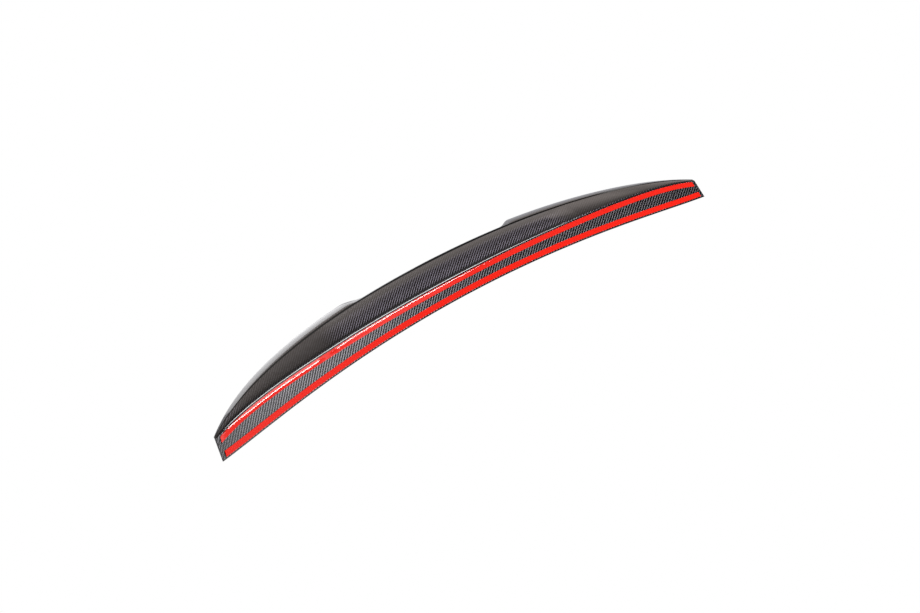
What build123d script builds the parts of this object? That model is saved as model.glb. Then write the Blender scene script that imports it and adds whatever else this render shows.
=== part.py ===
"""Rear spoiler for a boot lid: one carbon-fibre moulding with two strips of bonding tape on its underside.

X runs across the car to its right, Y forward and Z up. The origin is the middle of the bonding face,
halfway along the spoiler and halfway across the flange.
"""
import os
from math import atan2, cos, degrees, radians, sin, tan

from build123d import *

# Driving dimensions, in millimetres and degrees

# Whole moulding
span = 1200.0  # across the car, over both tips
plan_bow = 52.0  # the tips of the front edge stand this far ahead of its middle
crown = 31.0  # the tips droop this far below the middle
end_slant = 9.7  # angle of the end cuts, which run in towards the rear

# Bonding flange, the face that lies on the boot lid
flange_mid = 38.0  # from the front edge to the fold, at the middle
flange_tip = 36.0  # the same at the tips
flange_rounding = 18.0  # how much the fold draws in towards each tip
front_rounding = 4.0  # how much the front edge draws back towards each tip
rounding_power = 10  # how late both draw in
flange_twist = -3.3  # tilt of the flange at the tips
front_edge = 2.0  # thickness of the laminate along the front edge

# Kick, the rear face that rises from the fold to the crease
fold_radius = 5.0
kick_mid = 57.0  # from the fold to the crease, at the middle
kick_tip = 3.0  # the same at the tips
kick_power = 2.7  # how late the kick dies away towards the tips
kick_angle_mid = 43.0
kick_angle_tip = 46.5
belly_mid = 8.5  # slope gained across each half of the face, between the fins
belly_side = 3.0  # the same under the fins

# Ledge, the step at the crease that looks down and parts the kick from the fins
ledge_mid = 2.8
ledge_tip = 1.2
ledge_slope = 8.0

# Fins, the raised lips at each side of the low middle part
fin_start = 172.0  # distance of the foot of a fin from the middle
fin_shoulder = 44.0  # length of the shoulder over which it rises
fin_reach = 9.0  # how far it stands out behind the ledge
fin_rise = 16.5  # how far it stands up above the ledge
fin_roll = 13.5  # slope gained across each half of its rear face
fin_power = 2.7  # how late it dies away towards the tips

# Trailing edge and top ramp
rear_edge_mid = 3.2  # thickness of the rounded trailing edge
rear_edge_tip = 2.0
lip_rise = 1.0  # the least distance from the ledge to the trailing edge
lip_slope_mid = 60.0  # slope of the lip where there is no fin
nose_arcs = 4  # arcs that round it
nose_flatness = 0.997  # each arc is this much flatter than a true circle
ramp_hollow = 0.22  # height of the ramp's control point, as a share of its rise

# Bonding tape
tape_width = 9.5
tape_front_inset = 2.9  # from the front edge to the front strip
tape_rear_inset = 3.3  # from the fold to the rear strip
tape_end_inset = 8.0
foam_thickness = 0.9
liner_thickness = 0.15
bond_clearance = 0.02

# Number of steps between sections
middle_steps = 8
shoulder_steps = 6
side_steps = 12

half_span = span / 2
fin_full = fin_start + fin_shoulder


def blend(middle, tip, share):
    return middle + (tip - middle) * share


def polar(length, angle):
    return Vector(length * cos(radians(angle)), length * sin(radians(angle)))


def shoulder_share(x):
    """0 between the fins and 1 beyond their shoulders, with a smooth rise between."""
    share = min(max((abs(x) - fin_start) / fin_shoulder, 0.0), 1.0)
    return share * share * (3 - 2 * share)


def fin_share(x):
    """Height of a fin at a section, as a share of its full height."""
    outward = max(abs(x) - fin_full, 0.0) / (half_span - fin_full)
    return shoulder_share(x) * (1 - min(outward, 1.0) ** fin_power)


def flange_width(x):
    s = abs(x) / half_span
    return blend(flange_mid, flange_tip + flange_rounding, s**2) - flange_rounding * s**rounding_power


def flange_tilt(x):
    return flange_twist * (x / half_span) ** 2


def section_plane(x):
    """Plane of a section: its own x runs to the rear from the lower front edge, and its own y runs up."""
    s = x / half_span
    front = flange_mid / 2 + plan_bow * s**2 - front_rounding * abs(s) ** rounding_power
    turn = radians(end_slant) * s
    return Plane(
        origin=(x, front, -crown * s**2),
        x_dir=(-sin(turn), -cos(turn), 0),
        z_dir=(-cos(turn), sin(turn), 0),
    )


def bowed_control(start, end, gain):
    """Control point of a quadratic curve whose slope is its chord's, less gain at the start and more at the end."""
    chord = end - start
    angle = degrees(atan2(chord.Y, chord.X))
    return start + polar(chord.length / 2 / cos(radians(gain)), angle - gain)


def stations(first, last, steps):
    return [blend(first, last, k / steps) for k in range(steps + 1)]


def moulding_section(x):
    """Closed section of the wedge: flange, fold, kick, ledge, rear of the fin, trailing edge, ramp and front edge."""
    s = abs(x) / half_span
    tilt = flange_tilt(x)
    kick = blend(kick_mid, kick_tip, s**kick_power)
    kick_angle = blend(kick_angle_mid, kick_angle_tip, s**2)
    belly = blend(belly_mid, belly_side, shoulder_share(x))
    fin = fin_share(x)
    thickness = blend(rear_edge_mid, rear_edge_tip, s)

    front = Vector(0, 0)
    fold = polar(flange_width(x), tilt)
    crease = fold + polar(kick, kick_angle)
    setback = min(fold_radius * tan(radians(kick_angle - belly - tilt) / 2), kick / 4)
    flange_end = fold - polar(setback, tilt)
    kick_start = fold + polar(setback, kick_angle - belly)
    kick_control = bowed_control(kick_start, crease, belly)

    ledge_end = crease + polar(blend(ledge_mid, ledge_tip, s), ledge_slope)
    lip = ledge_end + polar(lip_rise, lip_slope_mid) + Vector(fin_reach, fin_rise) * fin
    lip_chord = lip - ledge_end
    lip_slope = degrees(atan2(lip_chord.Y, lip_chord.X)) + fin_roll * fin
    lip_control = bowed_control(ledge_end, lip, fin_roll * fin)

    top_rear = lip + polar(thickness, lip_slope + 90)
    nose_centre = lip + polar(thickness / 2, lip_slope + 90)
    nose_turn = 180 / nose_arcs
    nose_reach = nose_flatness * thickness / 2 / cos(radians(nose_turn / 2))
    top_front = front + Vector(0, front_edge)
    ramp_control = Vector(top_rear.X / 2, blend(front_edge, top_rear.Y, ramp_hollow))

    with BuildSketch(section_plane(x)) as section:
        with BuildLine():
            Line(front, flange_end)
            Bezier(flange_end, fold, kick_start)
            Bezier(kick_start, kick_control, crease)
            Line(crease, ledge_end)
            Bezier(ledge_end, lip_control, lip)
            for k in range(nose_arcs):
                start_angle = lip_slope - 90 + nose_turn * k
                arc_start = nose_centre + polar(thickness / 2, start_angle)
                arc_control = nose_centre + polar(nose_reach, start_angle + nose_turn / 2)
                arc_end = nose_centre + polar(thickness / 2, start_angle + nose_turn)
                Bezier(arc_start, arc_control, arc_end)
            Bezier(top_rear, ramp_control, top_front)
            Line(top_front, front)
        make_face()
    return section.sketch


def tape_section(x, inset, depth, thickness):
    """One layer of a strip, at an inset from the front edge and a depth below the flange."""
    along = polar(1, flange_tilt(x))
    down = polar(1, flange_tilt(x) - 90)
    near = along * inset + down * depth
    far = near + along * tape_width
    with BuildSketch(section_plane(x)) as section:
        Polygon(near, far, far + down * thickness, near + down * thickness, align=None)
    return section.sketch


def rear_strip_inset(x):
    return flange_width(x) - tape_rear_inset - tape_width


def zones(reach):
    """Stations of the sides, shoulders and middle out to a reach; neighbours share their end sections."""
    return [
        stations(-reach, -fin_full, side_steps),
        stations(-fin_full, -fin_start, shoulder_steps),
        stations(-fin_start, fin_start, middle_steps),
        stations(fin_start, fin_full, shoulder_steps),
        stations(fin_full, reach, side_steps),
    ]


# Carbon moulding, lofted zone by zone
with BuildPart() as moulding:
    for zone in zones(half_span):
        loft([moulding_section(x) for x in zone])
moulding.part.label = "spoiler_moulding"

# Bonding tape: a foam strip against the flange and a liner film over it, along the front edge and the fold
tape_zones = zones(half_span - tape_end_inset)
foam_depth = bond_clearance
liner_depth = foam_depth + foam_thickness + bond_clearance

with BuildPart() as front_foam:
    for zone in tape_zones:
        loft([tape_section(x, tape_front_inset, foam_depth, foam_thickness) for x in zone])
front_foam.part.label = "front_tape_foam"

with BuildPart() as front_liner:
    for zone in tape_zones:
        loft([tape_section(x, tape_front_inset, liner_depth, liner_thickness) for x in zone])
front_liner.part.label = "front_tape_liner"

with BuildPart() as rear_foam:
    for zone in tape_zones:
        loft([tape_section(x, rear_strip_inset(x), foam_depth, foam_thickness) for x in zone])
rear_foam.part.label = "rear_tape_foam"

with BuildPart() as rear_liner:
    for zone in tape_zones:
        loft([tape_section(x, rear_strip_inset(x), liner_depth, liner_thickness) for x in zone])
rear_liner.part.label = "rear_tape_liner"

os.makedirs("parts", exist_ok=True)
export_step(moulding.part, "parts/spoiler_moulding.step")
export_step(front_foam.part, "parts/front_tape_foam.step")
export_step(front_liner.part, "parts/front_tape_liner.step")
export_step(rear_foam.part, "parts/rear_tape_foam.step")
export_step(rear_liner.part, "parts/rear_tape_liner.step")
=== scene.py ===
# %% [markdown]
# # A carbon-fibre boot spoiler
#
# The real thing is one bowed moulding of carbon cloth in clear resin, with two strips of bonding tape on its
# underside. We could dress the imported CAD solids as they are, but gloss shows every facet of a coarse mesh.
# So the moulding and the tape's films are drawn again here from the formulas of their sections, in the same
# frame and much finer. The foam under the films has the right shape already, and only gets its material.

from math import radians, sin

import bpy
import numpy as np
from mathutils import Matrix, Vector


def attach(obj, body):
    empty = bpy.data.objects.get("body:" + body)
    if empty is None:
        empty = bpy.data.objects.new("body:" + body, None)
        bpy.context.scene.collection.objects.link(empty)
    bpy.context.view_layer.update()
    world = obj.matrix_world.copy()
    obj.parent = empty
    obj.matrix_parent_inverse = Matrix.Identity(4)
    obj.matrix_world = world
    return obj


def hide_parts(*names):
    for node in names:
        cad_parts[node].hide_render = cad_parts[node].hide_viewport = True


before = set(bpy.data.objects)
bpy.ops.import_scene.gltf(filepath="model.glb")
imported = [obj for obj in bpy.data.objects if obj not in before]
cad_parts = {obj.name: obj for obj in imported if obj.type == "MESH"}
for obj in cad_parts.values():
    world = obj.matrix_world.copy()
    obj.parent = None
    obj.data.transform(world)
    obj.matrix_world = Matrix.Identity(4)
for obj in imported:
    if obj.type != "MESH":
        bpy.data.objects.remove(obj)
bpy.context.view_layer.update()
MM = 0.001  # metres

# %% [markdown]
# ## Camera
#
# The picture looks up at the underside from below the left end, with the right end farther off. A camera
# could be placed by eye, but a long thin object shows each degree of error. These axes and this place were
# worked out from the edges seen in the picture, together with the size of the part.

# %% Camera below the left end
IMAGE_WIDTH_PX, FOCAL_LENGTH_PX = 920, 2017.7
SENSOR_WIDTH_MM = 36.0
HALF_PIXEL = 0.5  # edges were measured from the middle of a pixel, and a camera counts from its corner
CAMERA_PLACE = (-2.2056, 0.0253, -2.6169)  # metres
PICTURE_RIGHT = Vector((0.67621, 0.47345, -0.56443))
PICTURE_DOWN = Vector((-0.36495, 0.88082, 0.30162))
VIEW_AHEAD = Vector((0.63996, 0.00203, 0.76840))

camera_data = bpy.data.cameras.new("camera")
camera_data.sensor_fit = "HORIZONTAL"
camera_data.sensor_width = SENSOR_WIDTH_MM
camera_data.lens = FOCAL_LENGTH_PX / IMAGE_WIDTH_PX * SENSOR_WIDTH_MM
camera_data.shift_x = -HALF_PIXEL / IMAGE_WIDTH_PX
camera_data.shift_y = HALF_PIXEL / IMAGE_WIDTH_PX
camera = bpy.data.objects.new("camera", camera_data)
bpy.context.collection.objects.link(camera)
camera_turn = Matrix((PICTURE_RIGHT, -PICTURE_DOWN, -VIEW_AHEAD)).transposed().to_4x4()
camera.matrix_world = Matrix.Translation(CAMERA_PLACE) @ camera_turn
bpy.context.scene.camera = camera
print("camera lens, mm:", round(camera_data.lens, 1))

# %% [markdown]
# ## Studio surroundings
#
# A glossy black part shows its surroundings more than its own colour. The camera sees plain white, as behind
# a product on paper. The surface sees a soft studio: a dark floor, a pale band low down, a warm wall that
# grows brighter upwards, and a cool ceiling. We could light with an image, but a colour ramp over the height
# of the ray needs no file, and each level can be read here. One small function adds a node with its settings
# and links.

# %% Colour and node helpers
def linear(hex_colour):
    """An sRGB hex colour as the linear values that Blender's sockets take."""
    values = [int(hex_colour[i : i + 2], 16) / 255 for i in (1, 3, 5)]
    return [v / 12.92 if v <= 0.04045 else ((v + 0.055) / 1.055) ** 2.4 for v in values] + [1.0]


def add(tree, kind, links=(), inputs=(), **settings):
    """Adds a node, with links from its inputs to other nodes' outputs, values of inputs, and settings."""
    node = tree.nodes.new(kind)
    for key, value in settings.items():
        setattr(node, key, value)
    for key, value in dict(inputs).items():
        node.inputs[key].default_value = value
    for key, source in dict(links).items():
        tree.links.new(source, node.inputs[key])
    return node


print("white in linear light:", linear("#ffffff"), "mid grey:", round(linear("#808080")[0], 3))

# %% Levels of the studio by height
NEUTRAL, WARM, COOL = (1.0, 1.0, 1.0), (1.10, 0.97, 0.91), (0.99, 0.98, 1.03)
STUDIO_LEVELS = [  # degrees above the horizon, level, tint
    (-90, 0.10, NEUTRAL),
    (-54, 0.12, NEUTRAL),
    (-49, 0.22, NEUTRAL),
    (-45, 0.45, NEUTRAL),
    (-40, 0.50, NEUTRAL),
    (-33, 0.40, NEUTRAL),
    (-24, 0.22, NEUTRAL),
    (-8, 0.23, WARM),
    (-4, 0.30, WARM),
    (-1, 0.42, WARM),
    (2, 0.60, WARM),
    (6, 0.65, WARM),
    (10, 0.80, WARM),
    (20, 1.00, COOL),
    (32, 0.75, COOL),
    (55, 0.75, COOL),
    (90, 1.00, NEUTRAL),
]

scene = bpy.context.scene
scene.view_settings.view_transform = "Standard"
scene.world = bpy.data.worlds.new("studio")
scene.world.use_nodes = True
studio = scene.world.node_tree
studio.nodes.clear()
ray = add(studio, "ShaderNodeTexCoord")
ray_parts = add(studio, "ShaderNodeSeparateXYZ", {0: ray.outputs["Generated"]})
height = add(
    studio,
    "ShaderNodeMapRange",
    {"Value": ray_parts.outputs["Z"]},
    {"From Min": -1.0, "From Max": 1.0},
)
wall = add(studio, "ShaderNodeValToRGB", {"Fac": height.outputs[0]})
stops = wall.color_ramp.elements
while len(stops) < len(STUDIO_LEVELS):
    stops.new(0.5)  # each stop is moved to its place below
for stop, (degrees_up, level, tint) in zip(stops, STUDIO_LEVELS):
    stop.position = (sin(radians(degrees_up)) + 1) / 2
    stop.color = [level * part for part in tint] + [1.0]
print("studio levels:", len(stops))

# %% [markdown]
# ## Patches of the wall
#
# The moulding mirrors three things that don't go all round the studio. A soft window makes the kick brightest
# at its upper right. A dark gap beside it keeps the middle of the kick dark. A pale card low down brightens
# the left end of the flange. They could be lamps, but the clear coat would mirror a lamp's sharp edges, and a
# lamp can't darken. So each is a patch between two bearings and two heights, with smooth edges, inside which
# the wall is brighter or darker.

# %% Window, gap and card
PATCHES = {  # degrees between which the right, left, lower and upper edges fade in, and the level inside
    "window": ((131.5, 133.5), (137.5, 134.5), (-3.0, 0.5), (9.0, 4.0), 1.7),
    "gap": ((135.2, 136.6), (143.5, 141.5), (-7.0, -4.5), (3.5, 1.5), 0.4),
    "card": ((74.0, 80.0), (102.0, 94.0), (-50.2, -47.2), (-42.5, -44.5), 4.2),
}

bearing = add(
    studio,
    "ShaderNodeMath",
    {0: ray_parts.outputs["X"], 1: ray_parts.outputs["Y"]},
    operation="ARCTAN2",
)


def wall_patch(right, left, foot, top, level):
    """A factor for the wall's light: the level inside a patch, and 1 outside it."""
    heading, up = bearing.outputs[0], ray_parts.outputs["Z"]
    edges = [(heading, radians(start), radians(end)) for start, end in (right, left)]
    edges += [(up, sin(radians(start)), sin(radians(end))) for start, end in (foot, top)]
    inside = None
    for value, start, end in edges:
        # Each edge fades in up to the share that the edges before it leave
        links = {"Value": value, "To Max": inside.outputs[0]} if inside else {"Value": value}
        inside = add(
            studio,
            "ShaderNodeMapRange",
            links,
            {"From Min": start, "From Max": end},
            interpolation_type="SMOOTHSTEP",
        )
    return add(studio, "ShaderNodeMapRange", {"Value": inside.outputs[0]}, {"To Min": 1.0, "To Max": level})


patches = [wall_patch(*row) for row in PATCHES.values()]
strength = patches[0]
for patch in patches[1:]:
    strength = add(
        studio,
        "ShaderNodeMath",
        {0: strength.outputs[0], 1: patch.outputs[0]},
        operation="MULTIPLY",
    )
print("level inside each patch:", {name: row[-1] for name, row in PATCHES.items()})

# %% White behind the part
walls = add(
    studio,
    "ShaderNodeBackground",
    {"Color": wall.outputs["Color"], "Strength": strength.outputs[0]},
)
white_paper = add(studio, "ShaderNodeBackground", inputs={"Color": linear("#ffffff"), "Strength": 1.0})
ray_kind = add(studio, "ShaderNodeLightPath")
background = add(
    studio,
    "ShaderNodeMixShader",
    {0: ray_kind.outputs["Is Camera Ray"], 1: walls.outputs[0], 2: white_paper.outputs[0]},
)
add(studio, "ShaderNodeOutputWorld", {"Surface": background.outputs[0]})
print("nodes in the studio:", len(studio.nodes))

# %% [markdown]
# ## Lamps
#
# Carbon tows shine like brushed metal: only light from a ring of directions across the fibres comes back. One
# big soft box would light all the cloth alike, so each lamp here has one job, set by where the surface
# mirrors it.

# %% Soft boxes
SOFT_BOXES = [  # name; place, target and size in metres; watts
    # Tows across the flange, and the same again for its left end
    ("flange_light", (0.8, 0.03, -2.7), (0.2, 0, 0), (0.3, 1.6), 2.7),
    ("left_flange_light", (0.35, 0.11, -1.6), (-0.5, 0, 0), (0.35, 0.6), 4.8),
    # Plain light on the films, from where the tows don't send it to the camera
    ("film_light", (0.3, 1.8, -2.2), (0, 0, 0), (1.5, 1.5), 42),
    # The bright line along the fold and on the wrinkles, and a veil beside the left wrinkle
    ("fold_light", (2.04, -1.47, -2.4), (2.04, 0, 0), (1.15, 0.45), 44),
    ("wrinkle_light", (1.82, -0.46, -2.4), (1.82, 0, 0), (0.35, 0.3), 1.1),
    # Tows along the kick
    ("kick_light", (2.9, -3.1, -1.48), (0, 0, 0), (0.8, 0.3), 8),
    # Rear of the left fin
    ("fin_light", (0.82, -1.9, 1.33), (-0.5, -0.21, 0.04), (1.3, 1.4), 11),
]

for name, spot, target, size, watts in SOFT_BOXES:
    lamp_data = bpy.data.lights.new(name, "AREA")
    lamp_data.shape = "RECTANGLE"
    lamp_data.size, lamp_data.size_y = size
    lamp_data.energy = watts
    lamp = bpy.data.objects.new(name, lamp_data)
    bpy.context.collection.objects.link(lamp)
    lamp.location = spot
    lamp.rotation_euler = (Vector(target) - Vector(spot)).to_track_quat("-Z", "Y").to_euler()
    lamp.visible_camera = False
print("lamps, watts:", {row[0]: row[-1] for row in SOFT_BOXES})

# %% [markdown]
# ## Floor
#
# The part is seen from below, so the pale floor lies below the camera. Rays that leave the part don't see it,
# because the studio's levels already say how dark it is down there.

# %% Pale floor
FLOOR_HEIGHT, FLOOR_REACH = -2.95, 30.0  # metres
PAPER_COLOUR, PAPER_ROUGHNESS = "#dcdcda", 0.8  # uncoated studio paper, matt and nearly white

corner_signs = ((-1, -1), (1, -1), (1, 1), (-1, 1))
floor_corners = [(side * FLOOR_REACH, end * FLOOR_REACH, FLOOR_HEIGHT) for side, end in corner_signs]
floor_mesh = bpy.data.meshes.new("floor")
floor_mesh.from_pydata(floor_corners, [], [(0, 1, 2, 3)])
floor = bpy.data.objects.new("floor", floor_mesh)
bpy.context.collection.objects.link(floor)
paper = bpy.data.materials.new("matt_studio_paper")
paper.use_nodes = True
paper_shader = paper.node_tree.nodes["Principled BSDF"]
paper_shader.inputs["Base Color"].default_value = linear(PAPER_COLOUR)
paper_shader.inputs["Roughness"].default_value = PAPER_ROUGHNESS
floor_mesh.materials.append(paper)
floor.visible_glossy = False
floor.visible_diffuse = False
print("floor at", FLOOR_HEIGHT, "m")

# %% [markdown]
# ## Sizes of the moulding
#
# These are the CAD model's own sizes, except in two places that the reflections show. The laminate turns in
# the fold on 5 mm, and the resin that fills it leaves a softer outer surface, softest at the left. The belly
# of the kick also runs on past the feet of the fins before it flattens. The rim is the width of bare resin
# along the front edge.

# %% Sizes in millimetres and degrees
SPAN, PLAN_BOW, CROWN, END_SLANT = 1200.0, 52.0, 31.0, 9.7
FLANGE_MID, FLANGE_TIP, FLANGE_TWIST = 38.0, 36.0, -3.3
FLANGE_ROUNDING, FRONT_ROUNDING, ROUNDING_POWER = 18.0, 4.0, 10
FRONT_EDGE, FRONT_RIM = 2.0, 1.7
FOLD_RADIUS_LEFT, FOLD_RADIUS_RIGHT = 9.0, 6.5
FOLD_NARROWS = (-0.05, 0.3)  # shares of the half span, between which the fold's radius changes
KICK_MID, KICK_TIP, KICK_POWER = 57.0, 3.0, 2.7
KICK_ANGLE_MID, KICK_ANGLE_TIP = 43.0, 46.5
BELLY_MID, BELLY_SIDE = 8.5, 3.0
BELLY_FADES = (262.0, 326.0)  # distances from the middle
LEDGE_MID, LEDGE_TIP, LEDGE_SLOPE = 2.8, 1.2, 8.0
FIN_START, FIN_SHOULDER = 172.0, 44.0
FIN_REACH, FIN_RISE, FIN_ROLL, FIN_POWER = 9.0, 16.5, 13.5, 2.7
LIP_RISE, LIP_SLOPE = 1.0, 60.0
REAR_EDGE_MID, REAR_EDGE_TIP, RAMP_HOLLOW = 3.2, 2.0, 0.22
STATIONS = 401  # sections along the span

half = SPAN / 2
x = np.linspace(-half, half, STATIONS)  # places of the sections
s = np.abs(x) / half  # 0 at the middle and 1 at the tips
print("stations:", len(x), "every", x[1] - x[0], "mm")

# %% [markdown]
# ## Section of the moulding
#
# Each section is a closed line: flange, fold, kick, ledge, rear of the fin, rounded trailing edge, ramp and
# front edge. A subdivision surface over a cage would be quick, but it pulls away from the CAD shape.
# Quadratic curves through the same points stay on it, and numpy works out all stations at once.

# %% Curve helpers
def blend(first, last, share):
    """A value between two others, the first at a share of 0 and the last at 1."""
    return first + (last - first) * share


def rise(value, start, end):
    """A smooth step from 0 at the start to 1 at the end."""
    share = np.clip((value - start) / (end - start), 0, 1)
    return share * share * (3 - 2 * share)


def polar(length, angle):
    """A step of a length in the section, at an angle in degrees above straight to the rear."""
    return np.stack([length * np.cos(np.radians(angle)), length * np.sin(np.radians(angle))], -1)


def straight(start, end, steps):
    """Points on a line, without its end, which is the next line's start."""
    share = np.linspace(0, 1, steps + 1)[:-1, None]
    return start[:, None] * (1 - share) + end[:, None] * share


def bend(start, control, end, steps):
    """Points on a quadratic curve, without its end."""
    share = np.linspace(0, 1, steps + 1)[:-1, None]
    pull = 2 * share * (1 - share)
    return start[:, None] * (1 - share) ** 2 + control[:, None] * pull + end[:, None] * share**2


def bowed_control(start, end, gain):
    """Control point of a curve whose slope is its chord's, less gain at the start and more at the end."""
    chord = end - start
    angle = np.degrees(np.arctan2(chord[..., 1], chord[..., 0]))
    return start + polar(np.linalg.norm(chord, axis=-1) / 2 / np.cos(np.radians(gain)), angle - gain)


print("halfway up a smooth step:", float(rise(0.5, 0, 1)))

# %% Flange, fold and kick
def flange(station):
    """Width and tilt of the flange."""
    out = np.abs(station) / half
    full_width = blend(FLANGE_MID, FLANGE_TIP + FLANGE_ROUNDING, out**2)
    return full_width - FLANGE_ROUNDING * out**ROUNDING_POWER, FLANGE_TWIST * out**2


width, tilt = flange(x)
kick = blend(KICK_MID, KICK_TIP, s**KICK_POWER)
kick_angle = blend(KICK_ANGLE_MID, KICK_ANGLE_TIP, s**2)
belly = blend(BELLY_MID, BELLY_SIDE, rise(np.abs(x), *BELLY_FADES))

front = np.zeros((len(x), 2))
rim_end = polar(FRONT_RIM + 0 * x, tilt)
fold = polar(width, tilt)
crease = fold + polar(kick, kick_angle)
fold_radius = blend(FOLD_RADIUS_LEFT, FOLD_RADIUS_RIGHT, rise(x / half, *FOLD_NARROWS))
full_setback = fold_radius * np.tan(np.radians(kick_angle - belly - tilt) / 2)
setback = np.minimum(full_setback, kick / 4)  # near the tips the kick leaves less room for the fold
flange_end = fold - polar(setback, tilt)
kick_start = fold + polar(setback, kick_angle - belly)
print("kick at the middle, mm:", round(kick.max(), 1))
print("flange, mm:", round(width.min(), 1), "to", round(width.max(), 1))

# %% Ledge, fins, trailing edge and ramp
NOSE_STEP = 15  # degrees between the points round the trailing edge

fin_full = FIN_START + FIN_SHOULDER
outward = np.clip((np.abs(x) - fin_full) / (half - fin_full), 0, 1)
fin = rise(np.abs(x), FIN_START, fin_full) * (1 - outward**FIN_POWER)
thickness = blend(REAR_EDGE_MID, REAR_EDGE_TIP, s)

ledge_end = crease + polar(blend(LEDGE_MID, LEDGE_TIP, s), LEDGE_SLOPE)
lip = ledge_end + polar(LIP_RISE + 0 * x, LIP_SLOPE) + np.stack([FIN_REACH * fin, FIN_RISE * fin], -1)
lip_chord = lip - ledge_end
lip_slope = np.degrees(np.arctan2(lip_chord[:, 1], lip_chord[:, 0])) + FIN_ROLL * fin
nose_centre = lip + polar(thickness / 2, lip_slope + 90)
nose_angles = np.arange(-90, 90, NOSE_STEP)
nose = np.stack([nose_centre + polar(thickness / 2, lip_slope + angle) for angle in nose_angles], 1)
top_rear = lip + polar(thickness, lip_slope + 90)
top_front = front + (0, FRONT_EDGE)
ramp_control = np.stack([top_rear[:, 0] / 2, blend(FRONT_EDGE, top_rear[:, 1], RAMP_HOLLOW)], -1)
print("fin at its highest, mm:", round((lip[:, 1] - ledge_end[:, 1]).max(), 1))

# %% Section points in the car's frame
STEPS = {"rim": 1, "flange": 6, "fold": 12, "kick": 40, "ledge": 2, "fin": 14, "ramp": 26, "edge": 2}


def place(station, section_points):
    """Section points, which run to the rear from the front edge and up, as points in the car's frame."""
    out = station / half
    front_line = FLANGE_MID / 2 + PLAN_BOW * out**2 - FRONT_ROUNDING * np.abs(out) ** ROUNDING_POWER
    turned = np.radians(END_SLANT) * out
    points = np.empty(section_points.shape[:-1] + (3,))
    points[..., 0] = station[:, None] - np.sin(turned)[:, None] * section_points[..., 0]
    points[..., 1] = front_line[:, None] - np.cos(turned)[:, None] * section_points[..., 0]
    points[..., 2] = (-CROWN * out**2)[:, None] + section_points[..., 1]
    return points


runs = {
    "rim": straight(front, rim_end, STEPS["rim"]),
    "flange": straight(rim_end, flange_end, STEPS["flange"]),
    "fold": bend(flange_end, fold, kick_start, STEPS["fold"]),
    "kick": bend(kick_start, bowed_control(kick_start, crease, belly), crease, STEPS["kick"]),
    "ledge": straight(crease, ledge_end, STEPS["ledge"]),
    "fin": bend(ledge_end, bowed_control(ledge_end, lip, FIN_ROLL * fin), lip, STEPS["fin"]),
    "nose": nose,
    "ramp": bend(top_rear, ramp_control, top_front, STEPS["ramp"]),
    "edge": straight(top_front, front, STEPS["edge"]),
}
section = np.concatenate(list(runs.values()), 1)
ends = np.cumsum([run.shape[1] for run in runs.values()])
strips = {name: slice(end - run.shape[1], end) for (name, run), end in zip(runs.items(), ends)}
moulding_points = place(x, section)
print("moulding points:", moulding_points.shape[:2])

# %% [markdown]
# ## Laying the cloth
#
# The cloth is laid from the bowed front edge, so its tows keep their distance from that edge all along, and
# the ribs of the twill turn a little towards the ends. An unwrap could give such coordinates, but here they
# follow straight from the section: along the span, and back from the front edge. They count tows, so the real
# tow width sets the scale.

# %% Cloth coordinates in tows
SPAN_TOW, CHORD_TOW = 1.715, 1.49  # mm from tow to tow, along the span and across it
DRAPE = 0.88  # how far the cloth on the kick is drawn on by each millimetre of height


def with_next(values):
    """Each value round the sections, paired with the value at the next point."""
    return np.stack([values, np.roll(values, -1, axis=1)], -1)


back = with_next(section[..., 0] + DRAPE * section[..., 1])
back[:, strips["ramp"]] = with_next(section[..., 0])[:, strips["ramp"]]
cloth = np.stack([with_next(moulding_points[..., 0]) / SPAN_TOW, back / CHORD_TOW], -1)
print("tows along the span:", round(SPAN / SPAN_TOW))

# %% [markdown]
# ## Where the weave shows
#
# Elsewhere on the kick the studio's reflection washes the weave out, and the colour paints that: the two sets
# of tows get nearly alike colours there. Just above the fold the cloth is painted darker as shade. An image
# mask could say so, but two point attributes follow the section exactly: the share of painted contrast that
# is left, and the share of painted shade.

# %% Painted contrast of the weave and painted shade above the fold
# Painted light: the weave's contrast is faded in the colour where the studio's reflection would wash it out
FAINT = 0.12  # share of the contrast that is left where the weave hardly shows
WEAVE_FADES_UP = (0.62, 0.78)  # shares of the height of the kick
WEAVE_FADES_OUT = (0.44, 0.54)  # shares of the half span
LEFT_TIP_PAINTED_GLINT, LEFT_TIP_RISES = 0.8, (0.84, 0.92)  # contrast at the left tip, and shares of the half span
# Painted shade: the cloth just above the fold is darkened towards near black
FOLD_SHADE_SHARE, FOLD_SHADE_FADES = 0.8, (1.0, 8.0)  # just above the fold, and the mm over which it thins out

up_kick = np.zeros(section.shape[1])
up_kick[strips["kick"]] = np.linspace(0, 1, STEPS["kick"], endpoint=False)
up_kick[strips["ledge"].start :] = 1.0
washed_out = np.maximum(rise(up_kick, *WEAVE_FADES_UP)[None], rise(s, *WEAVE_FADES_OUT)[:, None])
painted_tow_glint = 1 - (1 - FAINT) * washed_out
painted_tow_glint[:, : strips["kick"].start] = 1.0
left_tip_painted_glint = LEFT_TIP_PAINTED_GLINT * rise(-x / half, *LEFT_TIP_RISES)
painted_tow_glint[:, strips["kick"]] = np.maximum(painted_tow_glint[:, strips["kick"]], left_tip_painted_glint[:, None])

# Share of painted shade, strongest just above the fold
above_fold = kick[:, None] * up_kick[None, strips["kick"]]
painted_fold_shade = np.zeros(section.shape[:2])
painted_fold_shade[:, strips["kick"]] = FOLD_SHADE_SHARE * (1 - rise(above_fold, *FOLD_SHADE_FADES))
print("share of points with a clear weave:", round(float((painted_tow_glint > 0.5).mean()), 2))

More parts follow.
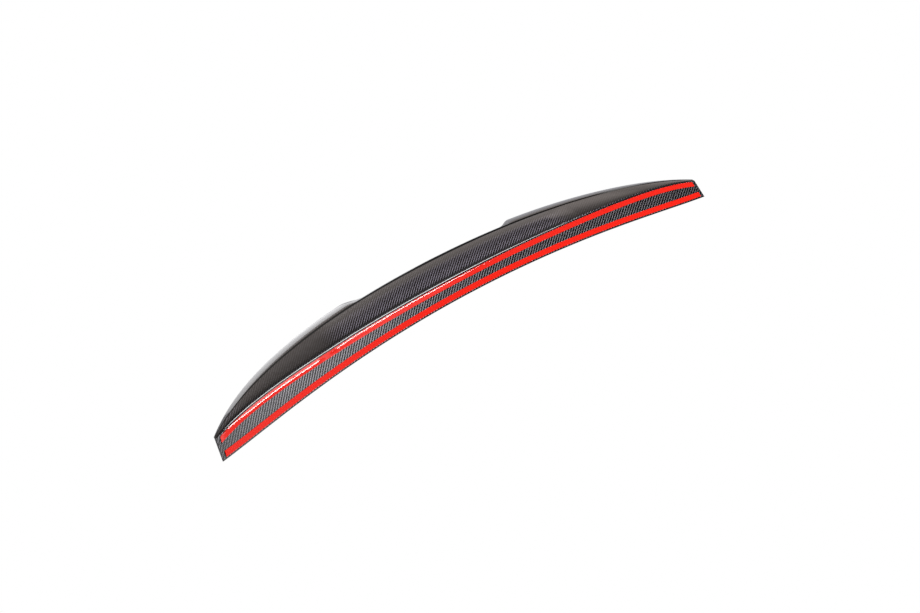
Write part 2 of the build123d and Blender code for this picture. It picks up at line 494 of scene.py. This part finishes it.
# %% [markdown]
# ## Carbon twill
#
# The material is carbon-fibre cloth in a 2x2 twill, wetted with epoxy and finished with a polished clear
# coat. Each tow passes over two and under two, one step later in each row, which draws diagonal ribs. A tow
# is about 1.6 mm wide, near one pixel of the picture, so its crossings can't show, and the ribs are drawn as
# plain bands. A bright band is a little narrower than two tows, because a tow dips at both ends. Fibres shine
# across their own direction, so the shine turns by a quarter from band to band. The bands' colours paint that
# shine as well: painted highlight on the tows that catch the light, painted shade on the others. Over them
# lies the smooth coat.

# %% Start and end of a material
MIX_A, MIX_B, MIXED = 6, 7, 2  # a Mix node's sockets for two colours, and its output for the mixed one


def empty_material(name):
    """A new material and its empty node tree."""
    material = bpy.data.materials.new(name)
    material.use_nodes = True
    material.node_tree.nodes.clear()
    return material, material.node_tree


def close_with(tree, shader):
    """Ends a material's tree with a shader."""
    add(tree, "ShaderNodeOutputMaterial", {"Surface": shader.outputs[0]})


print("materials so far:", [material.name for material in bpy.data.materials])

# %% Colour of the cloth
RIB_REPEAT = 4.0  # tows from rib to rib
# Near black of the painted shade just above the fold
FOLD_SHADE_COLOUR = "#040304"
PALER_TOWS, PALER_RANGE = 12.0, (0.9, 1.1)  # tows from one paler place to the next, and how pale it gets


def cloth_colour(tree, tow_count, span_on_top, span_tow_painted_light, chord_tow_painted_light, painted_washout_colour):
    """Rib colour, painted contrast faded and painted shade added as the attributes say, and a little uneven.
    """
    ribs = add(
        tree,
        "ShaderNodeMix",
        {"Factor": span_on_top.outputs[0]},
        {MIX_A: linear(chord_tow_painted_light), MIX_B: linear(span_tow_painted_light)},
        data_type="RGBA",
    )
    # Painted light: the share of the tows' contrast that is left
    painted_glint_attribute = add(tree, "ShaderNodeAttribute", attribute_name="painted_tow_glint")
    weave = add(
        tree,
        "ShaderNodeMix",
        {"Factor": painted_glint_attribute.outputs["Fac"], MIX_B: ribs.outputs[MIXED]},
        {MIX_A: linear(painted_washout_colour)},
        data_type="RGBA",
    )
    # Painted shade just above the fold
    fold_shade_attribute = add(tree, "ShaderNodeAttribute", attribute_name="painted_fold_shade")
    fold_shaded = add(
        tree,
        "ShaderNodeMix",
        {"Factor": fold_shade_attribute.outputs["Fac"], MIX_A: weave.outputs[MIXED]},
        {MIX_B: linear(FOLD_SHADE_COLOUR)},
        data_type="RGBA",
    )
    # Tows lie flatter in some places than in others, so the cloth is a little paler there
    uneven = add(
        tree,
        "ShaderNodeTexNoise",
        {"Vector": tow_count.outputs[0]},
        {"Scale": 1 / PALER_TOWS, "Detail": 1.0},
    )
    paler = add(
        tree,
        "ShaderNodeMapRange",
        {"Value": uneven.outputs[0]},
        {"To Min": PALER_RANGE[0], "To Max": PALER_RANGE[1]},
    )
    links = {0: fold_shaded.outputs[MIXED], "Scale": paler.outputs[0]}
    return add(tree, "ShaderNodeVectorMath", links, operation="SCALE")


print("rib spacing, mm:", round(RIB_REPEAT / np.hypot(1 / SPAN_TOW, 1 / CHORD_TOW), 1))

# %% Carbon twill material
def carbon_twill(name, span_tow_painted_light, chord_tow_painted_light, painted_washout_colour, span_band, coat=1.0, coat_roughness=0.03):
    """Twill from tow colours along the span and across it, with painted light, and of both where washed out.

    The span band is how many tows of each repeat show the tows along the span.
    """
    material, tree = empty_material(name)
    tow_count = add(tree, "ShaderNodeUVMap", uv_map="cloth")
    tow = add(tree, "ShaderNodeSeparateXYZ", {0: tow_count.outputs[0]})
    diagonal = add(tree, "ShaderNodeMath", {0: tow.outputs["X"], 1: tow.outputs["Y"]}, operation="SUBTRACT")
    in_repeat = add(
        tree,
        "ShaderNodeMath",
        {0: diagonal.outputs[0]},
        {1: RIB_REPEAT},
        operation="FLOORED_MODULO",
    )
    span_on_top = add(
        tree,
        "ShaderNodeMath",
        {0: in_repeat.outputs[0]},
        {1: span_band},
        operation="LESS_THAN",
    )
    colour = cloth_colour(tree, tow_count, span_on_top, span_tow_painted_light, chord_tow_painted_light, painted_washout_colour)
    quarter_turn = add(tree, "ShaderNodeMath", {0: span_on_top.outputs[0]}, {1: 0.25}, operation="MULTIPLY")
    fibres = add(tree, "ShaderNodeTangent", direction_type="UV_MAP", uv_map="cloth")
    shader = add(
        tree,
        "ShaderNodeBsdfPrincipled",
        {
            "Base Color": colour.outputs[0],
            "Anisotropic Rotation": quarter_turn.outputs[0],
            "Tangent": fibres.outputs[0],
        },
        {
            "Metallic": 1.0,
            "Roughness": 0.3,
            "Anisotropic": 0.95,
            "Coat Weight": coat,
            "Coat Roughness": coat_roughness,
            "Coat IOR": 1.5,
        },
    )
    close_with(tree, shader)
    return material


# On the flange the tows across it catch the light, and on the kick those along it: a painted highlight
flange_twill = carbon_twill("flange_carbon_twill", "#080808", "#6b686d", "#3f3e3f", span_band=2.3)
kick_twill = carbon_twill("kick_carbon_twill", "#65616d", "#030303", "#2e2c2b", span_band=1.3)
# Just above the fold the polishing wheel can't reach, so the coat is dull there
# Its tows are a darker copy of the kick's: painted shade
shaded_fold_twill = carbon_twill(
    "shaded_fold_carbon_twill", "#2c2a2f", "#040404", "#161516", span_band=1.5, coat=0.3, coat_roughness=0.45
)
print("twills:", flange_twill.name, kick_twill.name, shaded_fold_twill.name)

# %% [markdown]
# ## Black epoxy
#
# Where the cloth ends or bends sharply, resin gathers without fibres: at the trimmed edges, in the fold and
# at the crease. It is cast epoxy with black pigment, smooth as the mould, so it looks black with sharp
# reflections. A faint mottle in its colour keeps it from looking like a flat fill.

# %% Black epoxy material
EPOXY_MOTTLE_MM = 6.0

black_epoxy, tree = empty_material("black_epoxy")
place_on_part = add(tree, "ShaderNodeTexCoord")
mottle = add(
    tree,
    "ShaderNodeTexNoise",
    {"Vector": place_on_part.outputs["Object"]},
    {"Scale": 1 / (EPOXY_MOTTLE_MM * MM)},
)
epoxy_colour = add(
    tree,
    "ShaderNodeMix",
    {"Factor": mottle.outputs[0]},
    {MIX_A: linear("#080708"), MIX_B: linear("#121112")},
    data_type="RGBA",
)
shader = add(
    tree,
    "ShaderNodeBsdfPrincipled",
    {"Base Color": epoxy_colour.outputs[MIXED]},
    {"Roughness": 0.06},
)
close_with(tree, shader)
print("material:", black_epoxy.name)

# %% [markdown]
# ## The moulding as a mesh
#
# The sections become a closed tube: quads from section to section and one flat face at each end. Edges
# sharper than a set angle stay sharp, such as the crease, and the rest is shaded smooth. Each strip of quads
# gets its finish.

# %% Tube of sections
SHARP_EDGE = radians(18)


def tube(name, points, finishes, finish_of):
    """A closed tube through sections of points, with the finish of each quad; the ends get the last one."""
    sections, around = points.shape[:2]
    station, point = np.meshgrid(np.arange(sections - 1), np.arange(around), indexing="ij")
    here, onward = station * around, (station + 1) * around
    next_point = (point + 1) % around
    corners = [here + point, onward + point, onward + next_point, here + next_point]
    quads = np.stack(corners, -1).reshape(-1, 4).tolist()
    first_end = list(range(around))[::-1]
    last_end = list(range((sections - 1) * around, sections * around))
    mesh = bpy.data.meshes.new(name)
    mesh.from_pydata((points.reshape(-1, 3) * MM).tolist(), [], quads + [first_end, last_end])
    numbers = np.concatenate([finish_of.ravel(), [len(finishes) - 1] * 2]).astype(np.int32)
    mesh.polygons.foreach_set("material_index", numbers)
    mesh.polygons.foreach_set("use_smooth", np.arange(len(mesh.polygons)) < len(quads))
    mesh.update()
    mesh.set_sharp_from_angle(angle=SHARP_EDGE)
    for finish in finishes:
        mesh.materials.append(finish)
    piece = bpy.data.objects.new(name, mesh)
    bpy.context.collection.objects.link(piece)
    return piece


print("edges stay sharp from", round(np.degrees(SHARP_EDGE)), "degrees")

# %% Moulding with its finishes
FINISHES = [flange_twill, kick_twill, shaded_fold_twill, black_epoxy]
FLANGE_TWILL, KICK_TWILL, SHADED_FOLD_TWILL, EPOXY = range(len(FINISHES))
DULL_STRIPS = 2  # strips of the kick that the dull coat of the fold runs up to
POLISHED_FOLD = 0.45  # share of the half span from which the kick's polished cloth runs into the fold

moulding_finish = np.full((len(x) - 1, section.shape[1]), KICK_TWILL)
moulding_finish[:, strips["flange"]] = FLANGE_TWILL
for bare in ("rim", "edge"):
    moulding_finish[:, strips[bare]] = EPOXY
moulding_finish[:, strips["kick"].stop - 1 : strips["ledge"].stop + 1] = EPOXY  # dark line along the crease
fold_middle = (strips["fold"].start + strips["fold"].stop) // 2
dull_end = np.searchsorted(x, POLISHED_FOLD * half)
moulding_finish[:, strips["fold"].start : fold_middle] = EPOXY
# The dull twill's darker tows are painted shade on the fold's upper half and the kick's first strips
moulding_finish[:dull_end, fold_middle : strips["fold"].stop + DULL_STRIPS] = SHADED_FOLD_TWILL

moulding = tube("moulding", moulding_points, FINISHES, moulding_finish)
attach(moulding, "root")
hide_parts("spoiler_moulding")
print("moulding faces:", len(moulding.data.polygons))

# %% Cloth on the moulding
mesh = moulding.data
here, onward = cloth[:-1], cloth[1:]
quad_tows = np.stack([here[:, :, 0], onward[:, :, 0], onward[:, :, 1], here[:, :, 1]], -2).reshape(-1, 2)
end_tows = np.zeros((len(mesh.loops) - len(quad_tows), 2))
cloth_layer = mesh.uv_layers.new(name="cloth")
cloth_layer.data.foreach_set("uv", np.concatenate([quad_tows, end_tows]).ravel())
# Point attributes of the painted weave contrast and of the painted shade above the fold
for name, shares in (("painted_tow_glint", painted_tow_glint), ("painted_fold_shade", painted_fold_shade)):
    mesh.attributes.new(name, "FLOAT", "POINT").data.foreach_set("value", shares.ravel())
mesh.update()
print("cloth corners:", len(quad_tows))

# %% [markdown]
# ## Foam of the tape
#
# Under each film lies a strip of acrylic foam, the bond itself. The CAD solids are right as they are, because
# foam tape is a plain flat strip. Its cut sides are matt dark grey with fine closed cells. The cells are a
# tenth of a millimetre, too fine to show, so they are drawn ten times as large.

# %% Acrylic foam material
FOAM_CELL_MM = 1.0

foam, tree = empty_material("acrylic_foam")
place_on_part = add(tree, "ShaderNodeTexCoord")
cells = add(
    tree,
    "ShaderNodeTexVoronoi",
    {"Vector": place_on_part.outputs["Object"]},
    {"Scale": 1 / (FOAM_CELL_MM * MM)},
)
foam_colour = add(
    tree,
    "ShaderNodeMix",
    {"Factor": cells.outputs["Distance"]},
    {MIX_A: linear("#222222"), MIX_B: linear("#343434")},
    data_type="RGBA",
)
shader = add(
    tree,
    "ShaderNodeBsdfPrincipled",
    {"Base Color": foam_colour.outputs[MIXED]},
    {"Roughness": 0.85},
)
close_with(tree, shader)

for node in ("front_tape_foam", "rear_tape_foam"):
    foam_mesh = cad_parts[node].data
    foam_mesh.materials.clear()
    foam_mesh.materials.append(foam)
print("material:", foam.name)

# %% [markdown]
# ## Release film
#
# The film over the foam is red polyethylene, blown and rolled, so it is smooth with faint lengthwise streaks
# where it was drawn. It is a strong even red with a soft gloss. The wrinkled strip has come loose from its
# foam and mirrors more light. The gloss is a coat over a matt red, so that the red keeps its colour under it.

# %% Red film materials
FILM_STREAK_MM, FILM_STREAK_LENGTH_MM = 1.5, 60.0  # the real streaks are finer, but would not show


def red_film(name, gloss):
    """Red polyethylene film; the gloss is the weight of its coat."""
    material, tree = empty_material(name)
    place_on_part = add(tree, "ShaderNodeTexCoord")
    per_streak = [1 / (size * MM) for size in (FILM_STREAK_LENGTH_MM, FILM_STREAK_MM, FILM_STREAK_MM)]
    stretched = add(
        tree,
        "ShaderNodeVectorMath",
        {0: place_on_part.outputs["Object"]},
        {1: per_streak},
        operation="MULTIPLY",
    )
    streaks = add(
        tree,
        "ShaderNodeTexNoise",
        {"Vector": stretched.outputs[0]},
        {"Scale": 1.0, "Detail": 2.0},
    )
    film_colour = add(
        tree,
        "ShaderNodeMix",
        {"Factor": streaks.outputs[0]},
        {MIX_A: linear("#ee2216"), MIX_B: linear("#fa2a1c")},
        data_type="RGBA",
    )
    shader = add(
        tree,
        "ShaderNodeBsdfPrincipled",
        {"Base Color": film_colour.outputs[MIXED]},
        {"Roughness": 0.5, "Specular IOR Level": 0.0, "Coat Weight": gloss, "Coat Roughness": 0.05},
    )
    close_with(tree, shader)
    return material


flat_red_film = red_film("red_polyethylene_film", gloss=0.25)
loose_red_film = red_film("loose_red_polyethylene_film", gloss=0.85)
print("films:", flat_red_film.name, loose_red_film.name)

# %% [markdown]
# ## Films on the two strips
#
# A film is a thin strip that follows the flange, so it is made by the same tube function from four-sided
# sections with many points across. The front film lies flat.

# %% Front film
TAPE_WIDTH, TAPE_FRONT_INSET, TAPE_REAR_INSET, TAPE_END_INSET = 9.5, 2.9, 3.3, 8.0
FOAM_THICKNESS, FILM_THICKNESS, BOND_CLEARANCE = 0.9, 0.15, 0.02
ACROSS_POINTS = 49

film_depth = BOND_CLEARANCE + FOAM_THICKNESS + BOND_CLEARANCE
tape_x = np.linspace(TAPE_END_INSET - half, half - TAPE_END_INSET, STATIONS)
flange_width, flange_tilt = flange(tape_x)
across = np.linspace(0, TAPE_WIDTH, ACROSS_POINTS)


def film_strip(name, node, inset, lift, material):
    """A film over a foam strip; the lift is how far it stands off, at each station and place across."""
    along = polar(1, flange_tilt)[:, None]
    below = polar(1, flange_tilt - 90)[:, None]
    outer_depth = film_depth + FILM_THICKNESS + lift
    outer = along * (inset[:, None] + across)[..., None] + below * outer_depth[..., None]
    inner = along * (inset[:, None] + across[[-1, 0]])[..., None] + below * film_depth
    points = place(tape_x, np.concatenate([outer, inner], 1))
    strip = tube(name, points, [material], np.zeros((len(tape_x) - 1, points.shape[1])))
    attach(strip, "root")
    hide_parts(node)
    return strip


no_lift = np.zeros((len(tape_x), len(across)))
front_inset = TAPE_FRONT_INSET + 0 * tape_x
front_film = film_strip("front_film", "front_tape_liner", front_inset, no_lift, flat_red_film)
print("front film faces:", len(front_film.data.polygons))

# %% [markdown]
# ## Wrinkles in the rear film
#
# The rear film has come loose in two long wrinkles, which catch the light as white streaks. A bump map would
# fade at this small angle and leave nothing in the mesh, so the film itself is lifted. Each wrinkle rises
# slowly from the fold side, turns into a narrow face that looks towards the fold light, and falls away in
# front.

# %% Form of a wrinkle
FACE_TURN, LEAD_TURN = 15.0, 5.0  # degrees

face_slope = np.tan(np.radians(FACE_TURN - flange_tilt))[:, None]
lead_slope = np.tan(np.radians(LEAD_TURN - flange_tilt))[:, None]
from_fold = (TAPE_REAR_INSET + TAPE_WIDTH - across)[None]


def wrinkle(centre, face_width, share):
    """Lift of the film by a wrinkle, whose bright face has its middle at a distance from the fold."""
    face_start, face_end = centre - face_width / 2, centre + face_width / 2
    lead_end = np.maximum(face_start, TAPE_REAR_INSET)
    lead = np.clip(from_fold, TAPE_REAR_INSET, lead_end) - TAPE_REAR_INSET
    face = np.clip(from_fold - face_start, 0, face_width)
    top = lead_slope * (lead_end - TAPE_REAR_INSET) + face_slope * face_width
    fall = rise(from_fold, face_end, TAPE_REAR_INSET + TAPE_WIDTH)
    return share * np.where(from_fold > face_end, top * (1 - fall), lead_slope * lead + face_slope * face)


print("slope of a bright face:", round(float(face_slope.min()), 2), "to", round(float(face_slope.max()), 2))

# %% Rear film with two wrinkles
# Each wrinkle grows, ends, shifts across the film or narrows between two places, in shares of the half span.
# Centres are distances from the fold, and faces are widths, both in millimetres.
LEFT_GROWS, LEFT_ENDS = (-0.985, -0.95), (-0.59, -0.55)
LEFT_CENTRES, LEFT_SHIFTS, LEFT_FACE = (3.5, 7.6), (-0.98, -0.84), 1.9
MIDDLE_GROWS, MIDDLE_ENDS = (-0.54, -0.5), (0.2, 0.28)
MIDDLE_CENTRES, MIDDLE_SHIFTS = (7.0, 5.0), (-0.54, -0.44)
MIDDLE_FACES, MIDDLE_NARROWS = (1.5, 0.3), (-0.15, 0.22)

along_span = (tape_x / half)[:, None]
left_wrinkle = wrinkle(
    blend(*LEFT_CENTRES, rise(along_span, *LEFT_SHIFTS)),
    LEFT_FACE,
    rise(along_span, *LEFT_GROWS) * (1 - rise(along_span, *LEFT_ENDS)),
)
middle_wrinkle = wrinkle(
    blend(*MIDDLE_CENTRES, rise(along_span, *MIDDLE_SHIFTS)),
    blend(*MIDDLE_FACES, rise(along_span, *MIDDLE_NARROWS)),
    rise(along_span, *MIDDLE_GROWS) * (1 - rise(along_span, *MIDDLE_ENDS)),
)
wrinkles = left_wrinkle + middle_wrinkle
rear_inset = flange_width - TAPE_REAR_INSET - TAPE_WIDTH
rear_film = film_strip("rear_film", "rear_tape_liner", rear_inset, wrinkles, loose_red_film)
print("rear film faces:", len(rear_film.data.polygons))
print("highest wrinkle, mm:", round(float(wrinkles.max()), 2))

# %% Update of the view layer
bpy.context.view_layer.update()
